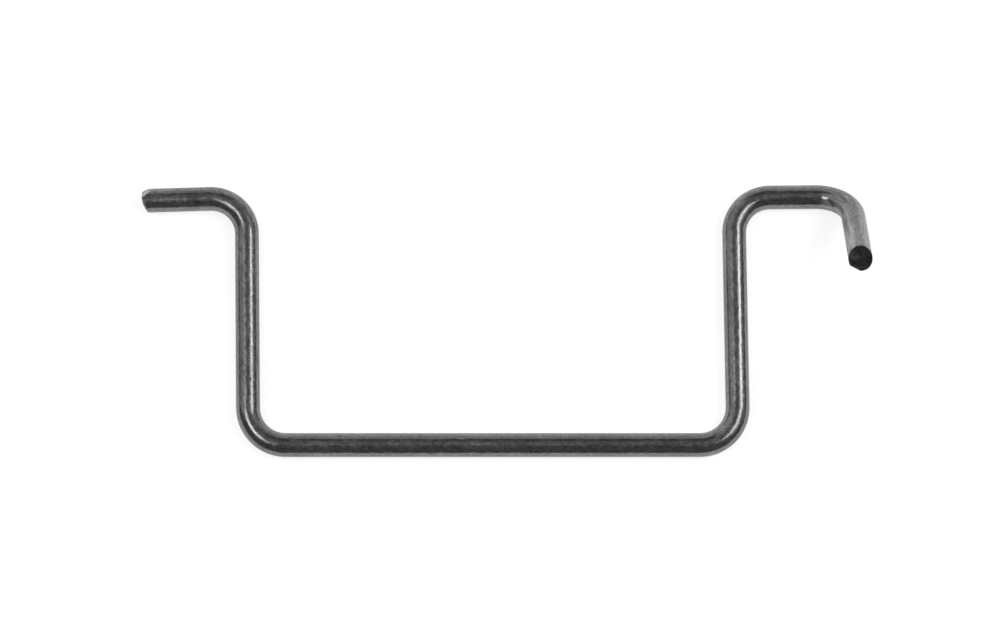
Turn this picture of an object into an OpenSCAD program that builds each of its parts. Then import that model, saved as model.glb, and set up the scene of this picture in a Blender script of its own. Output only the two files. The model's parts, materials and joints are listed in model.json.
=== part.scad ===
// Bent wire form: one length of round drawn steel wire with five bends and two sheared ends.
// It lies flat: the bar, legs, stub and shoulder rest on the XY plane and the tail stands clear of it.
// The bar runs along X, the legs run from it towards +Y, and +Z is up.

/* [Wire] */
// Diameter of the wire
wire_d = 2.03; // [1.2:0.01:3.2]
// Inside radius of the two bends between the bar and the legs
bar_bend_r = 2.2; // [1:0.05:4]
// Inside radius of the stub, shoulder and tail bends
end_bend_r = 2.05; // [1:0.05:3.5]

/* [Lengths along the centreline] */
// Bar, corner to corner
bar_l = 41.35; // [20:0.05:80]
// Each leg, corner to corner
leg_l = 21.2; // [10:0.05:50]
// Pivot stub, corner to tip
stub_l = 8.9; // [6:0.05:30]
// Shoulder, corner to corner
shoulder_l = 9.9; // [7:0.05:30]
// Tail, corner to tip
tail_l = 9.45; // [6:0.05:30]

/* [Bends] */
// Turn from the stub into the left leg, in degrees
stub_turn = 90.9; // [75:0.1:105]
// Turn from the left leg into the bar, in degrees
left_bar_turn = 89.2; // [75:0.1:105]
// Turn from the bar into the right leg, in degrees
right_bar_turn = 90.7; // [75:0.1:105]
// Turn from the right leg into the shoulder, in degrees
shoulder_turn = 90.2; // [75:0.1:105]
// Turn from the shoulder into the tail, in degrees
tail_turn = 88; // [60:0.1:105]
// Lean of the tail from straight up, towards the bar, in degrees
tail_lean = 45; // [0:1:80]

/* [Stub end] */
// Roll of the cut at the stub's tip about the wire, in degrees
stub_cut_roll = 172; // [0:1:360]
// Slope of the shear face at the stub's tip from square, in degrees
stub_shear_slope = 27; // [5:1:40]
// Width of the square land that is left at the stub's tip
stub_land_w = 0.49; // [0:0.01:0.8]
// Depth of the nipped facet beside that land, in from the surface of the wire
stub_facet_depth = 0.5; // [0.05:0.01:0.9]
// Slope of that facet from square, in degrees
stub_facet_slope = 58; // [30:1:75]
// Roll of that facet away from the long side of the cut, in degrees
stub_facet_roll = 36; // [0:1:90]

/* [Tail end] */
// Roll of the cut at the tail's tip about the wire, in degrees
tail_cut_roll = 90; // [0:1:360]
// Slope of the shear face at the tail's tip from square, in degrees
tail_shear_slope = 23; // [5:1:40]
// Width of the square land that is left at the tail's tip
tail_land_w = 0.1; // [0:0.01:0.8]
// Depth of the nipped facet beside that land, in from the surface of the wire
tail_facet_depth = 0.16; // [0.05:0.01:0.6]
// Slope of that facet from square, in degrees
tail_facet_slope = 67; // [30:1:75]
// Roll of that facet away from the long side of the cut, in degrees
tail_facet_roll = 32; // [0:1:90]

/* [Hidden] */
$fn = 96;

wire_r = wire_d / 2;
bar_axis_r = bar_bend_r + wire_r;
end_axis_r = end_bend_r + wire_r;

// Length that a bend takes from each of the two straights that meet at its corner
function setback(turn, axis_r) = axis_r * tan(turn / 2);

stub_setback = setback(stub_turn, end_axis_r);
left_bar_setback = setback(left_bar_turn, bar_axis_r);
right_bar_setback = setback(right_bar_turn, bar_axis_r);
shoulder_setback = setback(shoulder_turn, end_axis_r);
tail_setback = setback(tail_turn, end_axis_r);

// Straight stretches between the bends
stub_run = stub_l - stub_setback;
left_leg_run = leg_l - stub_setback - left_bar_setback;
bar_run = bar_l - left_bar_setback - right_bar_setback;
right_leg_run = leg_l - right_bar_setback - shoulder_setback;
shoulder_run = shoulder_l - shoulder_setback - tail_setback;
tail_run = tail_l - tail_setback;

// Unit vector at an angle from +X, in the plane that the form lies in
function heading(angle) = [cos(angle), sin(angle)];

// Corners of the centreline, from the middle of the bar, and its two tips
left_leg_angle = 180 - left_bar_turn;
stub_angle = left_leg_angle + stub_turn;
right_leg_angle = right_bar_turn;
shoulder_angle = right_leg_angle - shoulder_turn;
stub_corner = [-bar_l / 2, 0] + leg_l * heading(left_leg_angle);
stub_tip = stub_corner + stub_l * heading(stub_angle);
shoulder_corner = [bar_l / 2, 0] + leg_l * heading(right_leg_angle);
tail_corner = shoulder_corner + shoulder_l * heading(shoulder_angle);

// Middle of the form's outline, which the origin lies under
right_reach = tail_corner.x + tail_l * cos(tail_turn) + wire_r;
middle = [(stub_tip.x + right_reach) / 2, max(stub_corner.y, tail_corner.y) / 2];

// Rolls of the bending plane about the wire
same_side = 0;
other_side = 180;
tail_roll = tail_lean - 90;

// Steps that an odd turn is made of, and how far past its end a bend is swept, in degrees
turn_step = 5;
over_sweep = 3;
millionths = 1e6;
about_y = [0, 1, 0];
about_z = [0, 0, 1];

// Nearest angle to a small one whose cosine is a whole number of millionths
function whole(angle) = sign(angle) * acos(round(cos(angle) * millionths) / millionths);

// The same turn about an axis, several times over
module stepped(axis, angle, steps) {
    if (steps > 0) rotate(angle * axis) stepped(axis, angle, steps - 1) children();
    else children();
}

// A turn about an axis, made of quarter turns and of small whole steps. Such a turn changes no
// size when its numbers are written with six digits, so the faces on both sides of it still meet
module turned(axis, angle) {
    quarters = 90 * round(angle / 90);
    rest = angle - quarters;
    steps = ceil(abs(rest) / turn_step);
    rotate(quarters * axis) stepped(axis, whole(rest / max(steps, 1)), steps) children();
}

// Everything beyond a plane that crosses the wire at x on its middle plane and slopes back towards -X
module beyond(x, slope) {
    reach = 2 * wire_d;
    translate([x, 0, 0]) rotate([0, -slope, 0]) translate([-reach, -reach, 0])
        cube([2 * reach, 2 * reach, reach]);
}

// A straight stretch of wire along +Z, with what follows it on its end
module straight(length) {
    cylinder(h = length, r = wire_r);
    translate([0, 0, length]) children();
}

// A bend that starts along +Z and turns towards +X once it is rolled, with what follows it on its end.
// It is swept a little too far, and stopped by the plane in which the next stretch starts
module bend(roll, turn, axis_r) {
    turned(about_z, roll) translate([axis_r, 0, 0]) {
        difference() {
            rotate([90, 0, 180]) rotate_extrude(angle = turn + over_sweep)
                translate([axis_r, 0]) circle(r = wire_r);
            turned(about_y, turn) translate([-axis_r, 0, 0]) beyond(0, 0);
        }
        turned(about_y, turn) translate([-axis_r, 0, 0]) children();
    }
}

// What the cutter takes from a wire that ends at z = 0: a sloped shear face, with its long side
// towards +X, and a small nipped facet that leaves a narrow square land at the tip
module shear_cut(slope, land_w, facet_depth, facet_slope, facet_roll) {
    facet_x = wire_r - facet_depth;
    beyond(facet_x - land_w, slope);
    rotate([0, 0, -facet_roll]) beyond(facet_x, -facet_slope);
}

// The pivot stub, from its sheared tip, with what follows it on its end
module stub() {
    difference() {
        straight(stub_run);
        rotate([180, 0, stub_cut_roll])
            shear_cut(stub_shear_slope, stub_land_w, stub_facet_depth, stub_facet_slope, stub_facet_roll);
    }
    translate([0, 0, stub_run]) children();
}

// The tail, to its sheared tip
module tail() {
    difference() {
        straight(tail_run);
        translate([0, 0, tail_run]) rotate([0, 0, tail_cut_roll])
            shear_cut(tail_shear_slope, tail_land_w, tail_facet_depth, tail_facet_slope, tail_facet_roll);
    }
}

// Puts a wire that starts along +Z, with its first bend towards +X, at the stub's tip
module from_stub_tip() {
    translate([stub_tip.x - middle.x, stub_tip.y - middle.y, wire_r])
        rotate([0, 0, stub_angle - 180]) rotate([0, 90, 0]) rotate([0, 0, -90]) children();
}

// The whole form, in the order in which the wire is fed and bent
module wire_form() {
    color("dimgray") from_stub_tip()
        stub()
        bend(same_side, stub_turn, end_axis_r) straight(left_leg_run)
        bend(other_side, left_bar_turn, bar_axis_r) straight(bar_run)
        bend(same_side, right_bar_turn, bar_axis_r) straight(right_leg_run)
        bend(other_side, shoulder_turn, end_axis_r) straight(shoulder_run)
        bend(tail_roll, tail_turn, end_axis_r)
        tail();
}

wire_form();
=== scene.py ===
# %% [markdown]
# # A bent wire form
# One length of round steel wire, bent five times and sheared off at both ends, lies flat on a
# white table and is seen from above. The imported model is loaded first, as a frame that stays
# where it is: its node gives the place and the size, and the piece made here stands for it.

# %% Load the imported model
import json
import math
from collections import namedtuple

import bpy
import numpy as np
from mathutils import Matrix, Vector

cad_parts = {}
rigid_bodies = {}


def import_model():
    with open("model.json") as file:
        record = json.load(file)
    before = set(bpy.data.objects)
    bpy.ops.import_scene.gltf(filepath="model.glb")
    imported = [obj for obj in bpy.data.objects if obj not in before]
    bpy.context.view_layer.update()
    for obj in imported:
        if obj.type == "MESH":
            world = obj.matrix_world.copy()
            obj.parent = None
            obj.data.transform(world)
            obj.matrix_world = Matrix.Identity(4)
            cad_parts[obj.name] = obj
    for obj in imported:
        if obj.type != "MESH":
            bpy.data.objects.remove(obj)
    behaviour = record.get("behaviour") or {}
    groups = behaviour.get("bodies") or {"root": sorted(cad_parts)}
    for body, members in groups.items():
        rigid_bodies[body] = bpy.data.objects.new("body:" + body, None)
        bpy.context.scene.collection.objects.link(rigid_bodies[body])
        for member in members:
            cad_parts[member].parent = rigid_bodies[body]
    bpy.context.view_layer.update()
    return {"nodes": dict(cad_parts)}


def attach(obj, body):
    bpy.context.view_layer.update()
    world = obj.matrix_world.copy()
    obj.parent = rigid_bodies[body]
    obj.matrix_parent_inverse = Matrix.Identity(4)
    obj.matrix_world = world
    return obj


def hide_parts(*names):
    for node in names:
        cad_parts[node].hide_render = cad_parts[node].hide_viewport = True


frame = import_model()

MM = 0.001
print("nodes:", sorted(frame["nodes"]))

# %% [markdown]
# ## The camera
# The photo looks almost straight down on the wire, nine degrees off the vertical, with a long lens.
# A camera can be turned by hand until the picture fits, or worked out from the fit of the
# photo's outline. The second way was taken: the numbers below come from that fit.

# %% Camera
VIEW_HEIGHT_DEG = 81.0
VIEW_DISTANCE = 0.4236
LENS_MM = 180.0
SENSOR_MM = 36.0
aim = Vector((-0.333, 0.594, 1.015)) * MM
height = math.radians(VIEW_HEIGHT_DEG)
towards_camera = Vector((0.0, -math.cos(height), math.sin(height)))
bpy.ops.object.select_all(action="DESELECT")
bpy.ops.object.camera_add(
    location=aim + VIEW_DISTANCE * towards_camera,
    rotation=(-towards_camera).to_track_quat("-Z", "Y").to_euler(),
)
camera = bpy.context.object
camera.name = "camera"
camera.data.lens = LENS_MM
camera.data.sensor_width = SENSOR_MM
camera.data.dof.use_dof = False
bpy.context.scene.camera = camera
print("camera at", [round(v, 4) for v in camera.location])

# %% [markdown]
# ## The order of feeding and bending
# A wire form is made by feeding straight wire out of a machine and bending it, again and again.
# The model is made in the same order: a circle is the end of the wire, an extrusion feeds it
# along, and a spin bends it. Each row below is a stretch of wire, measured from corner to corner,
# and the bend after it. A bend rounds its corner off, so it takes some length from both stretches.

# %% The wire's numbers
WIRE_R = 1.015
END_BEND_R = 3.065
BAR_BEND_R = 3.215
STUB_TIP = Vector((-30.7638, 10.2915, WIRE_R))
STUB_HEADING = Vector((0.99956, 0.02967, 0.0)).normalized()
UP = Vector((0.0, 0.0, 1.0))
RIGHT, LEFT, LEANING = "right", "left", "leaning"
# Name, length from corner to corner, side of the bend, its turn in degrees, its centreline radius
STRETCHES = [
    ("stub", 8.9, RIGHT, 90.9, END_BEND_R),
    ("left leg", 21.2, LEFT, 89.2, BAR_BEND_R),
    ("bar", 41.35, LEFT, 90.7, BAR_BEND_R),
    ("right leg", 21.2, RIGHT, 90.2, END_BEND_R),
    ("shoulder", 9.9, LEANING, 88.0, END_BEND_R),
    ("tail", 9.45, None, 0.0, 0.0),
]
TAIL_LEAN = math.radians(45)


def bend_side(heading, side):
    """The direction, square to the wire, that a bend turns towards."""
    right = heading.cross(UP).normalized()
    if side == RIGHT:
        return right
    if side == LEFT:
        return -right
    return math.sin(TAIL_LEAN) * right + math.cos(TAIL_LEAN) * UP


print("stretches:", [row[0] for row in STRETCHES])

# %% [markdown]
# ## Feeding and bending the wire
# A curve with a round bevel would give the same tube in one step, but its rings would not sit
# where the bends start and end. Extrude and spin keep every ring square to the wire, so the
# straights stay straight and each bend is a true arc. The wire starts and ends a little too long,
# because the cutter takes the spare length off afterwards.

# %% Wire
AROUND = 72
RING_PITCH = 0.15
SPARE = 1.5
SEAM = 1e-7
Straight = namedtuple("Straight", "start heading length run")
Bend = namedtuple("Bend", "start centre axis turn bend_r run")

bpy.ops.object.select_all(action="DESELECT")
bpy.ops.mesh.primitive_circle_add(
    vertices=AROUND,
    radius=WIRE_R * MM,
    fill_type="NOTHING",
    location=(STUB_TIP - SPARE * STUB_HEADING) * MM,
    rotation=STUB_HEADING.to_track_quat("Z", "Y").to_euler(),
)
wire = bpy.context.object
wire.name = "wire"
bpy.ops.object.transform_apply(location=True, rotation=True, scale=True)

walk = []
spot, heading, run, setback = STUB_TIP, STUB_HEADING, 0.0, 0.0
bpy.ops.object.mode_set(mode="EDIT")
bpy.ops.mesh.select_all(action="SELECT")
for name, corner_length, side, turn_deg, bend_r in STRETCHES:
    turn = math.radians(turn_deg)
    next_setback = bend_r * math.tan(turn / 2)
    length = corner_length - setback - next_setback
    feed = length + (SPARE if name in ("stub", "tail") else 0.0)
    rings = round(feed / RING_PITCH)
    bpy.ops.mesh.extrude_repeat(steps=rings, offset=heading * feed / rings * MM)
    walk.append(Straight(spot, heading, length, run))
    spot = spot + length * heading
    run += length
    if side is None:
        break
    towards = bend_side(heading, side)
    centre = spot + bend_r * towards
    axis = heading.cross(towards)
    arc_rings = round(bend_r * turn / RING_PITCH)
    bpy.ops.mesh.spin(steps=arc_rings, angle=-turn, center=centre * MM, axis=axis)
    walk.append(Bend(spot, centre, axis, turn, bend_r, run))
    turning = Matrix.Rotation(turn, 3, axis)
    spot = centre + turning @ (spot - centre)
    heading = turning @ heading
    run += bend_r * turn
    setback = next_setback
tail_tip, tail_heading = spot, heading
bpy.ops.mesh.select_all(action="SELECT")
bpy.ops.mesh.remove_doubles(threshold=SEAM)
bpy.ops.mesh.normals_make_consistent(inside=False)
bpy.ops.object.mode_set(mode="OBJECT")
print("wire:", len(wire.data.vertices), "points,", round(run, 2), "mm long, tail tip at",
      [round(v, 3) for v in tail_tip])

# %% [markdown]
# ## Cutting the two ends
# Wire is cut off by a blade that pinches and then tears it. Each end has a sloped shear face, a narrow
# land that is left square, and a facet where the blade nipped in. Bisect cuts a mesh with a
# plane and fills the cut, so three bisects make an end. A plane has no edges and would cut the
# rest of the wire too, so only the faces near the tip are selected.

# %% Sheared ends
TIP_REACH = 3.6
FINE = 1e-8
CUT_SEAM = 2e-7
STUB_CUT_ROLL = math.radians(8)


def points_mm():
    """The places of the wire's points in mm, as an array of rows."""
    bpy.ops.object.mode_set(mode="OBJECT")
    flat = np.empty(3 * len(wire.data.vertices))
    wire.data.vertices.foreach_get("co", flat)
    return flat.reshape(-1, 3) / MM


def select_points(chosen):
    """Selects the points for which an array holds true, and goes to edit mode."""
    bpy.ops.object.mode_set(mode="EDIT")
    bpy.ops.mesh.select_mode(type="VERT")
    bpy.ops.mesh.select_all(action="DESELECT")
    bpy.ops.object.mode_set(mode="OBJECT")
    wire.data.vertices.foreach_set("select", chosen)
    bpy.ops.object.mode_set(mode="EDIT")


def cut_planes(tip, outward, long_side, facet_roll, shear, land_w, facet_depth, facet):
    """Point and normal of the land, the shear face and the nipped facet of one end."""
    across = outward.cross(long_side)
    facet_side = math.cos(facet_roll) * long_side + math.sin(facet_roll) * across
    facet_x = WIRE_R - facet_depth
    return [
        (tip, outward),
        (tip + (facet_x - land_w) * long_side, math.cos(shear) * outward - math.sin(shear) * long_side),
        (tip + facet_x * facet_side, math.cos(facet) * outward + math.sin(facet) * facet_side),
    ]


stub_left = UP.cross(STUB_HEADING)
stub_planes = cut_planes(
    STUB_TIP, -STUB_HEADING, math.cos(STUB_CUT_ROLL) * stub_left - math.sin(STUB_CUT_ROLL) * UP,
    facet_roll=math.radians(-36), shear=math.radians(27), land_w=0.49,
    facet_depth=0.5, facet=math.radians(58))
tail_bend = walk[-2]
tail_planes = cut_planes(
    tail_tip, tail_heading, tail_bend.axis,
    facet_roll=math.radians(-32), shear=math.radians(23), land_w=0.1,
    facet_depth=0.16, facet=math.radians(67))

ends = ((STUB_TIP, stub_planes), (tail_tip, tail_planes))
for tip, planes in ends:
    for point, normal in planes:
        select_points(np.linalg.norm(points_mm() - tip, axis=1) < TIP_REACH)
        bpy.ops.mesh.bisect(
            plane_co=point * MM, plane_no=normal, use_fill=True, clear_outer=True, threshold=FINE)
bpy.ops.mesh.select_all(action="SELECT")
bpy.ops.mesh.remove_doubles(threshold=CUT_SEAM)
bpy.ops.mesh.normals_make_consistent(inside=False)
cut_points = points_mm()
print("cut wire:", len(wire.data.polygons), "faces, from", cut_points.min(axis=0).round(3), "to",
      cut_points.max(axis=0).round(3))

# %% [markdown]
# ## The torn faces
# A sheared face is not smooth: the metal tears in the last part of the cut and leaves a thin lip
# round it. An inset with a little depth leaves that lip, and bisects in two directions give the face
# a grid of points; poke would be shorter, but its thin wedges show. A displace modifier with a cloud
# texture then pushes the points in by a few hundredths of a millimetre, and none of them out.

# %% Torn faces
LIP = 0.05
LIP_DEPTH = 0.02
LEAST_AREA = 0.3
SAME_WAY = 0.9999
ON_PLANE = 1e-4
GRID = 0.08
GRID_LINES = 12
TEAR_DEPTH = 0.025
TEAR_GRAIN = 0.2

bpy.ops.object.mode_set(mode="EDIT")
bpy.ops.mesh.select_mode(type="FACE")
bpy.ops.mesh.select_all(action="DESELECT")
bpy.ops.object.mode_set(mode="OBJECT")
all_planes = stub_planes + tail_planes
for face in wire.data.polygons:
    face.select = face.area / MM ** 2 > LEAST_AREA and any(
        face.normal.dot(normal) > SAME_WAY and abs((face.center / MM - point).dot(normal)) < ON_PLANE
        for point, normal in all_planes)
print("cut faces:", sum(face.select for face in wire.data.polygons))
bpy.ops.object.mode_set(mode="EDIT")
bpy.ops.mesh.inset(thickness=LIP * MM, depth=-LIP_DEPTH * MM, use_individual=True)
bpy.ops.mesh.hide(unselected=True)
for tip, planes in ends:
    outward = planes[0][1]
    across = outward.orthogonal().normalized()
    for direction in (across, outward.cross(across)):
        for line in range(-GRID_LINES, GRID_LINES + 1):
            bpy.ops.mesh.select_all(action="SELECT")
            bpy.ops.mesh.bisect(
                plane_co=(tip + line * GRID * direction) * MM, plane_no=direction, threshold=FINE)
bpy.ops.mesh.select_all(action="SELECT")
bpy.ops.mesh.reveal(select=False)
bpy.ops.mesh.select_less()
bpy.ops.object.mode_set(mode="OBJECT")

torn = wire.vertex_groups.new(name="torn")
torn_points = [v.index for v in wire.data.vertices if v.select]
torn.add(torn_points, 1.0, "REPLACE")
tear = bpy.data.textures.new("tear", "CLOUDS")
tear.noise_scale = TEAR_GRAIN * MM
tear.noise_depth = 2
tearing = wire.modifiers.new("tearing", "DISPLACE")
tearing.texture = tear
tearing.vertex_group = "torn"
tearing.strength = TEAR_DEPTH * MM
tearing.mid_level = 1.0
bpy.ops.object.modifier_apply(modifier="tearing")
print("torn points:", len(torn_points))

# %% [markdown]
# ## Where each point was on the straight wire
# Die lines, oil and wear lie along the wire and go round its bends with it. A texture on Object
# coordinates would cut straight across the bends. So each point keeps, in an attribute, the place
# that it had before the wire was bent: x is the length along the wire, y and z are across it.

# %% Unbent places
TIE = 1e-9


def unbent(points):
    """The places of points in mm, on the wire as it was before bending."""
    nearest = np.full(len(points), np.inf)
    places = np.zeros((len(points), 3))
    side, up = UP.cross(STUB_HEADING), UP
    for part in walk:
        if isinstance(part, Straight):
            first = -SPARE if part is walk[0] else 0.0
            last = part.length + (SPARE if part is walk[-1] else 0.0)
            kept = np.clip((points - part.start) @ part.heading, first, last)
            offset = points - part.start - np.outer(kept, part.heading)
            along = part.run + kept
        else:
            spoke = (part.start - part.centre) / part.bend_r
            travel = part.axis.cross(spoke)
            a, b, c = ((points - part.centre) @ v for v in (spoke, travel, part.axis))
            kept = np.clip(np.arctan2(b, a), 0.0, part.turn)
            outwards = a * np.cos(kept) + b * np.sin(kept) - part.bend_r
            forwards = b * np.cos(kept) - a * np.sin(kept)
            offset = np.outer(outwards, spoke) + np.outer(forwards, travel) + np.outer(c, part.axis)
            along = part.run + kept * part.bend_r
        distance = np.linalg.norm(offset, axis=1)
        nearer = distance < nearest - TIE
        nearest[nearer] = distance[nearer]
        places[nearer] = np.column_stack((along, offset @ side, offset @ up))[nearer]
        if isinstance(part, Bend):
            turning = Matrix.Rotation(part.turn, 3, part.axis)
            side, up = turning @ side, turning @ up
    return places


straight_places = unbent(points_mm())
attribute = wire.data.attributes.new("unbent", "FLOAT_VECTOR", "POINT")
attribute.data.foreach_set("vector", (straight_places * MM).ravel())
print("unbent wire runs to", straight_places[:, 0].max().round(2), "mm")

# %% [markdown]
# ## Nicks from handling
# The wire has been fed through rollers and gripped by the bending tool, so a few small dents cross
# it. Each is a short patch of points that is pushed in along its normals, twice, the second time
# with a smaller patch, so that the dent has a sloped wall and a floor.

# %% Nicks
# Length along the wire, angle round it, half length and half width
NICKS = [
    (75.65, 113.0, 0.16, 0.14),
    (71.80, 122.0, 0.14, 0.12),
    (23.12, 79.0, 0.13, 0.18),
    (86.65, 102.0, 0.13, 0.26),
    (45.40, 60.0, 0.24, 0.10),
    (53.10, 112.0, 0.16, 0.12),
]
NICK_STEP = 0.009
NICK_SHARES = (1.0, 0.6)
angles = np.degrees(np.arctan2(straight_places[:, 2], straight_places[:, 1]))


def closeness(along, angle, half_length, half_width):
    """For each point, one in the middle of a patch of the unbent wire and nothing or less outside."""
    around = np.radians((angles - angle + 180.0) % 360.0 - 180.0) * WIRE_R
    return 1.0 - ((straight_places[:, 0] - along) / half_length) ** 2 - (around / half_width) ** 2


for share in NICK_SHARES:
    select_points(np.any(
        [closeness(along, angle, share * half_length, share * half_width) > 0.0
         for along, angle, half_length, half_width in NICKS], axis=0))
    bpy.ops.transform.shrink_fatten(value=-NICK_STEP * MM)
bpy.ops.object.mode_set(mode="OBJECT")
print("nicks:", len(NICKS))

# %% [markdown]
# ## Where the wire is rubbed, and where reflection is painted on
# The tail, and a few small spots elsewhere, have rubbed against other parts and are paler than the
# rest, in streaks. The tail's left side is made much paler than its wear, as a painted reflection of
# bright ground, and one small spot where the tail's bend starts is a painted highlight under a lamp's
# glint.
# Wear can be painted by hand in weight paint mode. Here an attribute holds the wear and this painted
# light together, filled from a short list of patches on the unbent wire. Two more attributes mark the
# torn faces, which are dull and dark, and the facet at the stub's tip, which the blade left bright.

# %% Rubbed places and painted reflection
# Length along the wire, angle round it, half length, half width and strength
WEAR_AND_PAINTED_REFLECTION_PATCHES = [
    # Partly wear, partly painted reflection: lifts the tail's left side far above its wear, standing in
    # for bright ground
    (101.6, 112.0, 5.8, 0.95, 2.4),
    (101.6, 0.0, 5.6, 0.66, 0.7),
    (95.6, 130.0, 1.1, 0.50, 1.1),
    # Painted highlight: a small spot that brightens a lamp's glint where the tail's bend starts
    (94.95, 93.0, 0.22, 0.18, 1.0),
    (71.4, 121.0, 0.40, 0.12, 0.9),
    (44.35, 90.0, 0.34, 0.08, 0.6),
    (46.45, 92.5, 0.70, 0.08, 0.5),
    (52.09, 90.0, 0.36, 0.08, 0.6),
    (21.54, 105.0, 0.40, 0.10, 0.6),
]
MOST_WEAR_AND_REFLECTION = 1.6
wear_and_reflection = np.zeros(len(straight_places))
for *patch, strength in WEAR_AND_PAINTED_REFLECTION_PATCHES:
    wear_and_reflection = np.maximum(wear_and_reflection, np.clip(strength * closeness(*patch), 0.0, MOST_WEAR_AND_REFLECTION))
inside_cut = np.zeros(len(straight_places), dtype=bool)
inside_cut[torn_points] = True


def on_cut(tip, plane):
    """The points that lie on one cut plane of an end, or just under it."""
    point, normal = plane
    places = points_mm()
    near = np.linalg.norm(places - tip, axis=1) < 2.0 * WIRE_R
    return near & (np.abs((places - point) @ normal) < LIP)


stub_facet = stub_planes[-1]
fresh = inside_cut & on_cut(STUB_TIP, stub_facet)
tear_share = inside_cut & ~fresh
for plane in tail_planes:
    tear_share |= on_cut(tail_tip, plane)
# The first attribute holds real wear together with the tail's painted reflection and painted highlight
for name, share in (("wear_and_painted_reflection", wear_and_reflection), ("torn_face", tear_share), ("fresh_cut", fresh)):
    attribute = wire.data.attributes.new(name, "FLOAT", "POINT")
    attribute.data.foreach_set("value", share.astype(float))
print("points rubbed:", (wear_and_reflection > 0.0).sum(), "torn:", tear_share.sum(), "fresh:", fresh.sum())

# %% [markdown]
# ## Drawn steel
# The wire was pulled through a die, so fine lines run along it, and it is dark with oil and a thin
# oxide. The lines are a noise that is stretched along the wire, and slower noises vary the tone and
# the gloss. It is bare metal, so it is a metallic shader: its looks come from what it reflects.

# %% Drawn steel
steel = bpy.data.materials.new("drawn_steel")
steel.use_nodes = True
nodes, links = steel.node_tree.nodes, steel.node_tree.links
shader = nodes["Principled BSDF"]
shader.inputs["Metallic"].default_value = 1.0


def attribute_node(name):
    """A node that reads one of the wire's own attributes."""
    node = nodes.new("ShaderNodeAttribute")
    node.attribute_name = name
    return node


def wire_noise(label, per_mm_along, per_mm_across, detail=3.0, per_mm_up=None):
    """A noise in the wire's own unbent places, with its own grain along and across the wire."""
    mapping = nodes.new("ShaderNodeMapping")
    mapping.inputs["Scale"].default_value = (
        per_mm_along / MM, per_mm_across / MM, (per_mm_up or per_mm_across) / MM)
    links.new(unbent_place.outputs["Vector"], mapping.inputs["Vector"])
    noise = nodes.new("ShaderNodeTexNoise")
    noise.label = label
    noise.inputs["Scale"].default_value = 1.0
    noise.inputs["Detail"].default_value = detail
    links.new(mapping.outputs["Vector"], noise.inputs["Vector"])
    return noise.outputs["Fac"]


def ramp(value, low_at, low, high_at, high):
    """Maps a value between two places to two others, and holds them beyond."""
    node = nodes.new("ShaderNodeMapRange")
    node.inputs["From Min"].default_value = low_at
    node.inputs["From Max"].default_value = high_at
    node.inputs["To Min"].default_value = low
    node.inputs["To Max"].default_value = high
    links.new(value, node.inputs["Value"])
    return node.outputs["Result"]


def combine(operation, a, b):
    """A sum, a product or the larger of two values."""
    node = nodes.new("ShaderNodeMath")
    node.operation = operation
    links.new(a, node.inputs[0])
    links.new(b, node.inputs[1])
    return node.outputs["Value"]


unbent_place = attribute_node("unbent")
split = nodes.new("ShaderNodeSeparateXYZ")
links.new(unbent_place.outputs["Vector"], split.inputs["Vector"])
along_wire = split.outputs["X"]
wear_and_painted_reflection = attribute_node("wear_and_painted_reflection").outputs["Fac"]
torn_face = attribute_node("torn_face").outputs["Fac"]
fresh_cut = attribute_node("fresh_cut").outputs["Fac"]
die_lines = wire_noise("die lines", 0.03, 5.0)
oil_film = wire_noise("oil film", 0.25, 0.8)
grain = wire_noise("grain", 2.2, 3.6, detail=1.5)
scuffs = wire_noise("scuffs", 0.9, 3.0, detail=2.0)
speckle = wire_noise("speckle", 4.5, 6.0, detail=1.0)
rub_lines = wire_noise("rub lines", 0.35, 3.5)
shear_lines = wire_noise("shear lines", 1.0, 8.0, detail=2.0, per_mm_up=0.8)
print("noises and attributes:", len(nodes), "nodes")

# %% [markdown]
# ### Tone, gloss and grain of the steel
# A metal's tone is how much it reflects. Oil darkens it in slow patches, the die lines streak it, the
# grain mottles it, rubbing and scuffs brighten it, and the torn faces are duller and rougher. On the
# tail the rubbed tone is lifted further as a painted reflection, and one spot at the tail's bend as a
# painted highlight. The left
# part of the wire is a little duller than the right. Mixing painted pictures would do it as well, but
# noises and attributes stay sharp at any distance.

# %% Tone and gloss
LEFT_AT, RIGHT_AT = 15 * MM, 70 * MM
WEAR_AND_REFLECTION_TONE = 0.32
FRESH_TONE = 0.17
RUB_ROUGHNESS = 0.5
TEAR_ROUGHNESS = 0.42
BUMP_STRENGTH = 0.42
BUMP_HEIGHT = 0.012
DIE_LINE_SHARE = 0.4
SMOOTH_BELOW = math.radians(30)

oiled = ramp(oil_film, 0.35, 0.27, 0.65, 0.33)
streaked = combine("MULTIPLY", oiled, ramp(die_lines, 0.3, 0.94, 0.7, 1.06))
grained = combine("MULTIPLY", streaked, ramp(grain, 0.3, 0.86, 0.7, 1.14))
mottled = combine("MULTIPLY", grained, ramp(speckle, 0.3, 0.82, 0.7, 1.18))
pits = combine("ADD", scuffs, ramp(along_wire, LEFT_AT, -0.07, RIGHT_AT, 0.0))
pitted = combine("MULTIPLY", mottled, ramp(pits, 0.24, 0.6, 0.33, 1.0))
streaky_wear_and_reflection = combine("MULTIPLY", wear_and_painted_reflection, ramp(rub_lines, 0.35, 0.25, 0.62, 1.0))
bright = combine("MAXIMUM", streaky_wear_and_reflection, ramp(scuffs, 0.68, 0.0, 0.78, 0.6))
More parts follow.
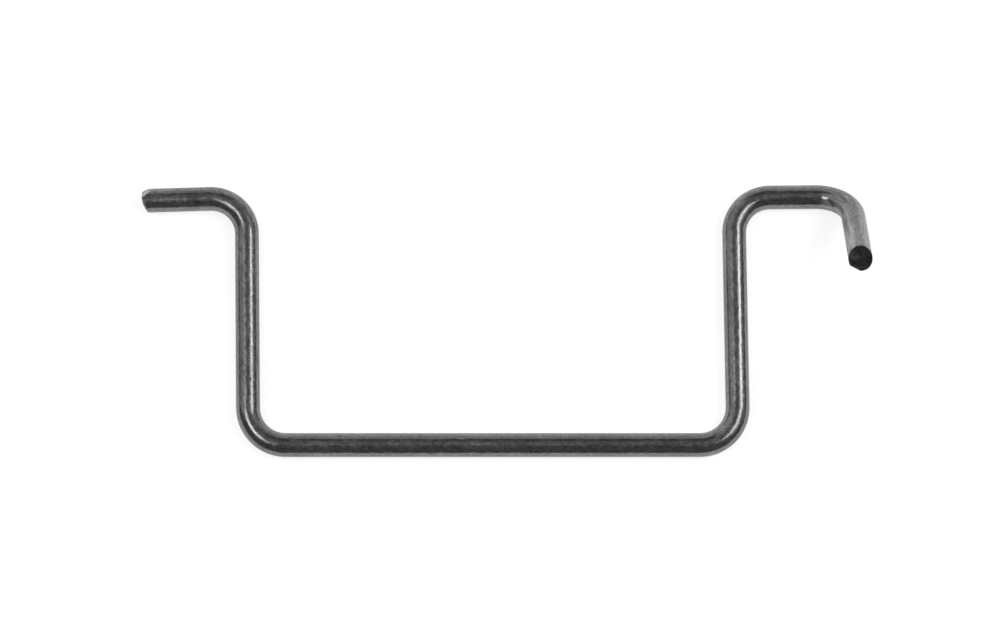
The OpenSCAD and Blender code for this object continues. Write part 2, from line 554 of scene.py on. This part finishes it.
# Adds wear and, on the tail, the painted reflection and painted highlight to the tone
worn_and_painted_reflection = combine("ADD", pitted, ramp(bright, 0.0, 0.0, MOST_WEAR_AND_REFLECTION, WEAR_AND_REFLECTION_TONE * MOST_WEAR_AND_REFLECTION))
cut_bright = combine("ADD", worn_and_painted_reflection, ramp(fresh_cut, 0.0, 0.0, 1.0, FRESH_TONE))
torn_tone = ramp(shear_lines, 0.3, 0.16, 0.7, 0.3)
not_torn = ramp(torn_face, 0.0, 1.0, 1.0, 0.0)
tone = combine("MULTIPLY", cut_bright, combine("MAXIMUM", not_torn, torn_tone))
colour = nodes.new("ShaderNodeCombineColor")
for channel in ("Red", "Green", "Blue"):
    links.new(tone, colour.inputs[channel])
links.new(colour.outputs["Color"], shader.inputs["Base Color"])

dull_left = ramp(along_wire, LEFT_AT, 0.04, RIGHT_AT, 0.0)
matt_grain = combine("ADD", ramp(grain, 0.35, 0.13, 0.65, 0.24), dull_left)
matt_rub = ramp(wear_and_painted_reflection, 0.0, 0.0, 1.0, RUB_ROUGHNESS)
matt_tear = ramp(torn_face, 0.0, 0.0, 1.0, TEAR_ROUGHNESS)
matt = combine("MAXIMUM", combine("MAXIMUM", matt_grain, matt_rub), matt_tear)
links.new(matt, shader.inputs["Roughness"])

bump = nodes.new("ShaderNodeBump")
bump.inputs["Strength"].default_value = BUMP_STRENGTH
bump.inputs["Distance"].default_value = BUMP_HEIGHT * MM
relief = combine("ADD", ramp(die_lines, 0.0, 0.0, 1.0, DIE_LINE_SHARE), grain)
links.new(relief, bump.inputs["Height"])
links.new(bump.outputs["Normal"], shader.inputs["Normal"])
wire.data.materials.append(steel)
bpy.ops.object.shade_smooth_by_angle(angle=SMOOTH_BELOW)
print("drawn steel:", len(nodes), "nodes")

# %% [markdown]
# ## The table
# The photo has a plain white ground. A white backdrop could be lit until it burns out, but that
# would drown the wire too. Here it is a wide pale sheet that takes the wire's shadow, and a little
# light of its own, only for what the camera and the metal see, lifts it to white.

# %% Table
TABLE_SIZE = 6.0
SHEET_TONE = 0.8
CAMERA_GLOW = 0.74
METAL_GLOW = 0.36

bpy.ops.object.select_all(action="DESELECT")
bpy.ops.mesh.primitive_plane_add(size=TABLE_SIZE, location=(0.0, 0.0, 0.0))
table = bpy.context.object
table.name = "table"
sheet = bpy.data.materials.new("white_sheet")
sheet.use_nodes = True
nodes, links = sheet.node_tree.nodes, sheet.node_tree.links
nodes.clear()
paper = nodes.new("ShaderNodeBsdfDiffuse")
paper.inputs["Color"].default_value = (SHEET_TONE, SHEET_TONE, SHEET_TONE, 1.0)
glow = nodes.new("ShaderNodeEmission")
light_path = nodes.new("ShaderNodeLightPath")
glossy, through = light_path.outputs["Is Glossy Ray"], light_path.outputs["Is Transmission Ray"]
in_metal = ramp(combine("MAXIMUM", glossy, through), 0.0, 0.0, 1.0, METAL_GLOW)
seen = ramp(light_path.outputs["Is Camera Ray"], 0.0, 0.0, 1.0, CAMERA_GLOW)
links.new(combine("ADD", seen, in_metal), glow.inputs["Strength"])
both = nodes.new("ShaderNodeAddShader")
links.new(paper.outputs["BSDF"], both.inputs[0])
links.new(glow.outputs["Emission"], both.inputs[1])
output = nodes.new("ShaderNodeOutputMaterial")
links.new(both.outputs["Shader"], output.inputs["Surface"])
table.data.materials.append(sheet)
print("table:", [round(v, 2) for v in table.dimensions])

# %% [markdown]
# ## The lamps
# Bare metal shows its lamps, so their places were worked out backwards from the bright stripes on
# the wire. A lamp stands to the left of the camera and three stand to the right. Large dim cards
# stand to the left, behind, to the right and overhead, and the dim world between them gives the
# metal its dark parts. Each lamp's power is set by how bright it looks.

# %% Lamps
LAMP_Z = 0.32
MIDDLE = (0.0, 0.0, 0.0)
ROOM_TONE = 0.115


def soft_lamp(name, place, aim_at, size, radiance):
    """A flat lamp at a place, in metres, that faces a point. Radiance is how bright it looks."""
    place, aim_at = Vector(place), Vector(aim_at)
    bpy.ops.object.light_add(
        type="AREA", location=place, rotation=(place - aim_at).to_track_quat("Z", "Y").to_euler())
    lamp = bpy.context.object
    lamp.name = name
    lamp.data.shape = "RECTANGLE"
    lamp.data.size, lamp.data.size_y = size
    lamp.data.energy = radiance * math.pi * size[0] * size[1]
    lamp.visible_camera = False
    print(name, "of", round(lamp.data.energy, 3), "W")


def down_lamp(name, x, y, size, radiance):
    """A soft lamp at the lamps' height that faces straight down."""
    soft_lamp(name, (x, y, LAMP_Z), (x, y, 0.0), size, radiance)


down_lamp("left lamp", -0.1505, -0.0415, (0.109, 0.127), 2.8)
down_lamp("right lamp", 0.2, -0.03, (0.176, 0.14), 2.1)
down_lamp("right strip", 0.285, 0.075, (0.19, 0.07), 2.9)
down_lamp("right skirt", 0.33, -0.15, (0.2, 0.14), 0.3)
soft_lamp("left card", (-0.406, 0.254, 0.361), MIDDLE, (0.56, 0.66), 0.36)
soft_lamp("back card", (0.1, 0.5, 0.16), (0.1, 0.0, 0.16), (1.1, 0.32), 0.36)
soft_lamp("right card", (0.45, 0.18, 0.353), MIDDLE, (0.75, 0.4), 0.2)
soft_lamp("top card", (0.09, 0.1, 0.6), (0.09, 0.1, 0.0), (0.5, 0.42), 0.09)

world = bpy.data.worlds.new("dim room")
bpy.context.scene.world = world
world.use_nodes = True
background = world.node_tree.nodes["Background"]
background.inputs["Color"].default_value = (ROOM_TONE, ROOM_TONE, ROOM_TONE, 1.0)
bpy.context.scene.view_settings.view_transform = "Standard"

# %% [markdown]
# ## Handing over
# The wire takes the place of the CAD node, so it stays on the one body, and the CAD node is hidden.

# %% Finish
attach(wire, "root")
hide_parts("wire_form")
